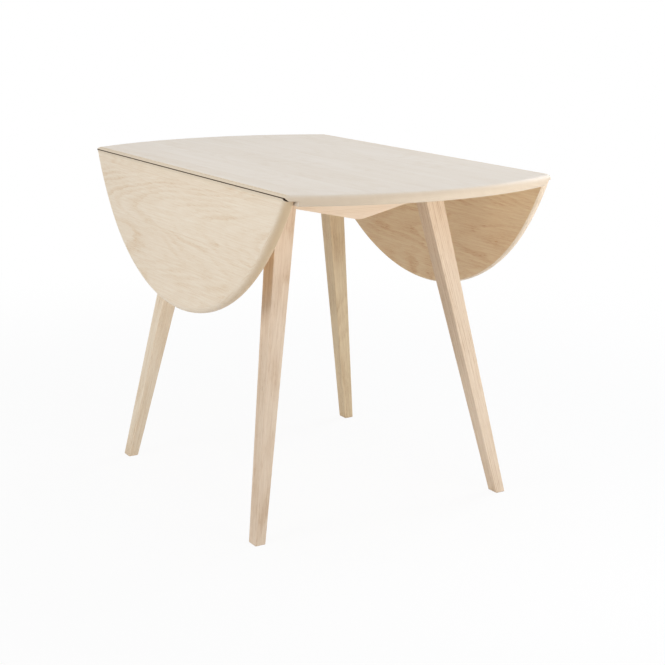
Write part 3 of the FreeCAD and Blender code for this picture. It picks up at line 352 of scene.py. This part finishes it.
def make_worn_metal():
    """Rolled or turned metal, with fine scratches along X and soft duller patches. The scratches
    are noise drawn out twenty times along X; the patches are plain noise, smoothly cut."""
    scratch_waves = (60, 1200, 1200)
    number, vector, colour = "NodeSocketFloat", "NodeSocketVector", "NodeSocketColor"
    tree, given, out = new_group("Worn metal", [
        ("Position", vector, (0, 0, 0)), ("Bright", colour, (1, 1, 1, 1)),
        ("Dull", colour, (0.4, 0.4, 0.4, 1)), ("Patch Scale", number, 120.0),
        ("Smoothness", number, 0.3),
    ], [("Color", colour), ("Roughness", number), ("Height", number)])
    drawn = add_node(tree, "ShaderNodeVectorMath", {0: given["Position"], 1: scratch_waves},
                     operation="MULTIPLY").outputs[0]
    scratches = add_node(tree, "ShaderNodeTexNoise", {"Vector": drawn, "Scale": 1.0,
                                                      "Detail": 2.0}).outputs[0]
    patch_noise = add_node(tree, "ShaderNodeTexNoise", {
        "Vector": given["Position"], "Scale": given["Patch Scale"], "Detail": 3.0}).outputs[0]
    patches = ramp(tree, patch_noise, 0.42, 0.66)
    tree.links.new(blend_colours(tree, patches, given["Bright"], given["Dull"]), out["Color"])
    rough = calc(tree, "MULTIPLY_ADD", patches, 0.16, given["Smoothness"])
    tree.links.new(calc(tree, "MULTIPLY_ADD", scratches, 0.12, rough), out["Roughness"])
    tree.links.new(scratches, out["Height"])
    return tree


worn_metal = make_worn_metal()


def metal_finish(name, bright, dull, smoothness, patch_scale=120.0):
    material = bpy.data.materials.new(name)
    material.use_nodes = True
    tree = material.node_tree
    surface = tree.nodes["Principled BSDF"]
    place = add_node(tree, "ShaderNodeTexCoord").outputs["Object"]
    metal = add_node(tree, "ShaderNodeGroup", node_tree=worn_metal)
    tree.links.new(place, metal.inputs["Position"])
    for socket, value in {"Bright": bright, "Dull": dull, "Smoothness": smoothness,
                          "Patch Scale": patch_scale}.items():
        metal.inputs[socket].default_value = value
    bump = add_node(tree, "ShaderNodeBump", {"Height": metal.outputs["Height"],
                                             "Strength": 0.2, "Distance": 0.0001})
    tree.links.new(metal.outputs["Color"], surface.inputs["Base Color"])
    tree.links.new(metal.outputs["Roughness"], surface.inputs["Roughness"])
    tree.links.new(bump.outputs[0], surface.inputs["Normal"])
    surface.inputs["Metallic"].default_value = 1.0
    return material


satin_brass = metal_finish("Satin brass", paint(214, 184, 122), paint(192, 162, 104), 0.28)
pin_brass = metal_finish("Drawn brass pin", paint(222, 196, 140), paint(182, 150, 96), 0.2, 300.0)
screw_brass = metal_finish("Brass screw", paint(206, 174, 112), paint(156, 124, 74), 0.3, 400.0)
for side_name in ("left", "right"):
    for row in (1, 2, 3):
        dress(f"hinge_panel_flap_{side_name}_{row}", satin_brass)
        dress(f"hinge_leaf_flap_{side_name}_{row}", satin_brass)
        dress(f"hinge_pin_{side_name}_{row}", pin_brass)
    dress(f"hinge_screws_leaf_{side_name}", screw_brass)
dress("hinge_screws_panel", screw_brass)


# ---------------------------------------------------------------- fasteners of the frame
# Zinc-plated screws, leg bolts, barrel nuts and wing bolts with their washers, and fluted beech
# dowels between legs and rails. Most of each lies inside the wood.

zinc = metal_finish("Zinc plate", paint(206, 208, 212), paint(160, 164, 172), 0.26, 500.0)
for node in ("frame_screws", "leg_bolts", "barrel_nuts", "wing_pivot_bolt_left",
             "wing_pivot_bolt_right", "wing_washer_left", "wing_washer_right"):
    dress(node, zinc)
dress("leg_dowels", lacquered_ash(
    "Beech dowel", (0, 1, 0), (-1, 0, 0), (0, 0, 1),
    **{"Late Wood": paint(222, 190, 150), "Early Wood": paint(188, 146, 104),
       "End Grain": paint(190, 150, 108), "Board Width": 1.6, "Board Shift": 0.5,
       "Ring Spacing": 0.002, "Seed": 91.0}))


# ---------------------------------------------------------------- studio
# A pale floor without a horizon in a white room, soft lamps overhead, at the left and behind on
# the right, and two small ones low in front. The camera stands front left, above the top.

def seen_plainly(tree):
    """1 where the camera, a mirror or glass shows a surface, 0 where it only lights the table."""
    path = add_node(tree, "ShaderNodeLightPath").outputs
    return calc(tree, "MAXIMUM", path["Is Camera Ray"],
                calc(tree, "MAXIMUM", path["Is Glossy Ray"], path["Is Transmission Ray"]))


FLOOR_HALF = 30.0
FLOOR_SHADE_NEAR, FLOOR_SHADE_FAR = 0.8, 2.6
corners = np.array(((-1, -1, 0), (1, -1, 0), (1, 1, 0), (-1, 1, 0))) * FLOOR_HALF
floor_mesh = bpy.data.meshes.new("Floor")
floor_mesh.from_pydata(corners.tolist(), [], [(0, 1, 2, 3)])
floor = bpy.data.objects.new("Floor", floor_mesh)
bpy.context.collection.objects.link(floor)
floor_white = bpy.data.materials.new("Floor white")
floor_white.use_nodes = True
tree = floor_white.node_tree
tree.nodes.clear()
place = add_node(tree, "ShaderNodeTexCoord").outputs["Object"]
from_table = add_node(tree, "ShaderNodeVectorMath", {0: place}, operation="LENGTH").outputs["Value"]
whiteness = ramp(tree, from_table, FLOOR_SHADE_NEAR, FLOOR_SHADE_FAR, 0.92, 1.0)
matt = add_node(tree, "ShaderNodeBsdfDiffuse", {"Color": (0.80, 0.80, 0.80, 1)})
white = add_node(tree, "ShaderNodeEmission", {"Color": (1, 1, 1, 1), "Strength": 1.0})
paper = add_node(tree, "ShaderNodeMixShader", {
    0: calc(tree, "MULTIPLY", seen_plainly(tree), whiteness),
    1: matt.outputs[0], 2: white.outputs[0]})
add_node(tree, "ShaderNodeOutputMaterial", {"Surface": paper.outputs[0]})
floor_mesh.materials.append(floor_white)

room = bpy.data.worlds.new("White room")
bpy.context.scene.world = room
room.use_nodes = True
tree = room.node_tree
ROOM_GLOW = 0.41
walls = tree.nodes["Background"].inputs
walls["Color"].default_value = (1, 1, 1, 1)
tree.links.new(calc(tree, "MULTIPLY_ADD", seen_plainly(tree), 1.0 - ROOM_GLOW, ROOM_GLOW),
               walls["Strength"])


TABLE_MIDDLE = Vector((0, 0, 0.5))
NEUTRAL, COOL = (1.0, 1.0, 1.0), (0.91, 0.97, 1.07)


def softbox(name, place, size, power, tint=NEUTRAL):
    """A round area lamp, its place and size in metres and its power in watts, turned to the middle
    of the table."""
    lamp = bpy.data.lights.new(name, "AREA")
    lamp.shape = "DISK"
    lamp.size = size
    lamp.energy = power
    lamp.color = tint
    holder = bpy.data.objects.new(name, lamp)
    bpy.context.collection.objects.link(holder)
    aim = TABLE_MIDDLE - Vector(place)
    turn = aim.to_track_quat("-Z", "Y").to_matrix().to_4x4()
    holder.matrix_world = Matrix.Translation(place) @ turn


softbox("Overhead softbox", (0.0, -0.5, 3.2), 1.8, 14.0, COOL)
softbox("Left softbox", (-2.3, -0.3, 1.5), 1.2, 18.5)
softbox("Back right softbox", (3.0, 0.5, 2.0), 1.8, 46.0, COOL)
softbox("Front softbox", (0.25, -1.3, 0.62), 0.5, 2.95)
softbox("Front right softbox", (0.75, -1.35, 0.72), 0.6, 2.7)

EYE = Vector((-1.5723, -2.7142, 1.1174))
YAW, PITCH, ROLL = 0.5435, 0.2430, 0.0051
LENS_PIXELS, FRAME_PIXELS, SENSOR_WIDTH = 1396.4, 665.0, 36.0
forward = Vector((math.sin(YAW) * math.cos(PITCH), math.cos(YAW) * math.cos(PITCH),
                  -math.sin(PITCH)))
level = Vector((math.cos(YAW), -math.sin(YAW), 0))
upward = level.cross(forward)
right = math.cos(ROLL) * level + math.sin(ROLL) * upward
up = -math.sin(ROLL) * level + math.cos(ROLL) * upward
camera = bpy.data.objects.new("Camera", bpy.data.cameras.new("Camera"))
bpy.context.collection.objects.link(camera)
camera.data.sensor_width = SENSOR_WIDTH
camera.data.lens = SENSOR_WIDTH * LENS_PIXELS / FRAME_PIXELS
camera.matrix_world = Matrix.Translation(EYE) @ Matrix((right, up, -forward)).transposed().to_4x4()
bpy.context.scene.camera = camera
bpy.context.scene.view_settings.view_transform = "Standard"
